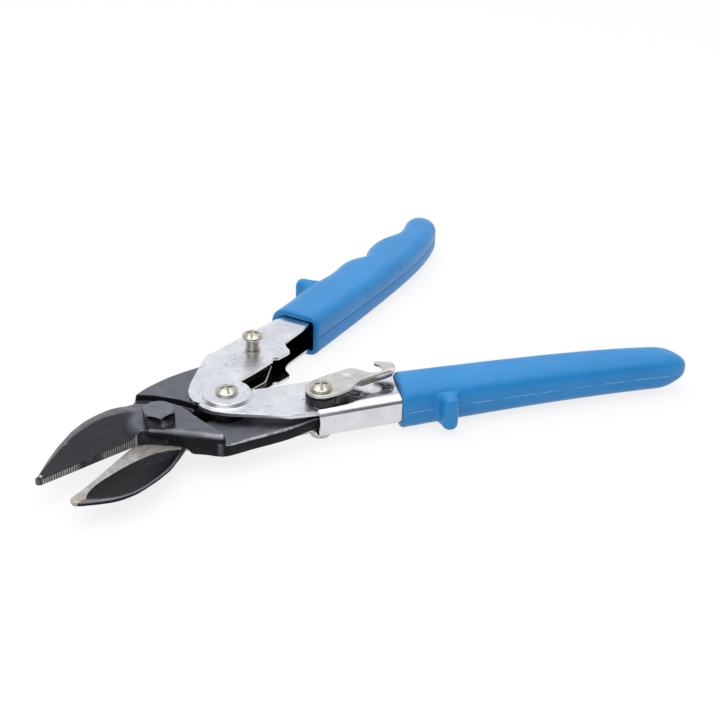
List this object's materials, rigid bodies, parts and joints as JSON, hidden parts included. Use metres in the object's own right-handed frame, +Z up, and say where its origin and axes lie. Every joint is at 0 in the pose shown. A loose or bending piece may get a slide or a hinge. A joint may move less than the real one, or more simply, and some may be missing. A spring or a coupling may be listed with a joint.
{
  "type": "metal shears",
  "caption": "Compound-leverage sheet-metal shears: two black forged jaws on a hex bolt, linked pressed-steel handles with blue grips, leaf spring and swivel latch.",
  "frame": {"origin": "centre of the pivot bolt's flush end at the underside of the main pivot nut, on the main pivot axis", "axes": "+X from the blades towards the grips, +Y towards the handle without the latch, +Z up along the pivot axis, towards the bolt's head"},
  "size_m": [0.2489, 0.1653, 0.0237],
  "materials": {
    "jaw_steel": "black oxide over forged steel, bare ground steel on the cutting lands",
    "black_bolt": "black oxide",
    "zinc_plate": "bright zinc-plated pressed sheet",
    "blue_grip": "satin blue soft plastic",
    "nickel_screw": "nickel plate",
    "latch_nickel": "satin nickel plate",
    "black_spacer": "black oxide",
    "spring_steel": "oil-blackened spring steel",
    "plain_steel": "plain steel"
  },
  "bodies": {
    "handle_b": {"handle_b_channel": "zinc_plate", "grip_b": "blue_grip", "link_screw": "nickel_screw", "link_bush": "plain_steel", "link_rivet": "nickel_screw", "latch_screw": "nickel_screw", "latch_rivet": "nickel_screw", "tail_spacer_b_top": "plain_steel", "tail_spacer_b_bottom": "plain_steel", "latch_spacer": "black_spacer", "latch_washer": "black_spacer", "return_spring": "spring_steel"},
    "handle_a": {"handle_a_channel": "zinc_plate", "grip_a": "blue_grip", "catch_stud": "nickel_screw", "catch_rivet": "nickel_screw", "tail_spacer_a_top": "plain_steel", "tail_spacer_a_bottom": "plain_steel"},
    "upper_jaw": {"upper_jaw": "jaw_steel", "pivot_bolt": "black_bolt", "pivot_washer": "black_bolt", "pivot_nut": "black_bolt"},
    "lower_jaw": {"lower_jaw": "jaw_steel"},
    "latch": {"latch_lever": "latch_nickel"}
  },
  "joints": [
    {"name": "handle_pivot", "type": "hinge", "parent": "handle_b", "child": "handle_a", "pos_m": [0.02907, 0, 0.0092], "axis": [0, 0, -1], "range_deg": [0, 38], "deforming": ["return_spring"]},
    {"name": "upper_jaw_pin", "type": "hinge", "parent": "handle_b", "child": "upper_jaw", "pos_m": [0.05588, -0.02266, 0.0092], "axis": [0, 0, -1], "range_deg": [0, 9.13]},
    {"name": "lower_jaw_pin", "type": "hinge", "parent": "handle_a", "child": "lower_jaw", "pos_m": [0.05588, 0.02266, 0.0092], "axis": [0, 0, 1], "range_deg": [0, 9.13]},
    {"name": "latch_pin", "type": "hinge", "parent": "handle_b", "child": "latch", "pos_m": [0.05588, -0.02266, 0.0192], "axis": [0, 0, 1], "range_deg": [0, 71]}
  ],
  "couplings": [
    {"joint": "upper_jaw_pin", "follows": "handle_pivot", "ratio": 0.23903},
    {"joint": "lower_jaw_pin", "follows": "handle_pivot", "ratio": 0.23903}
  ]
}
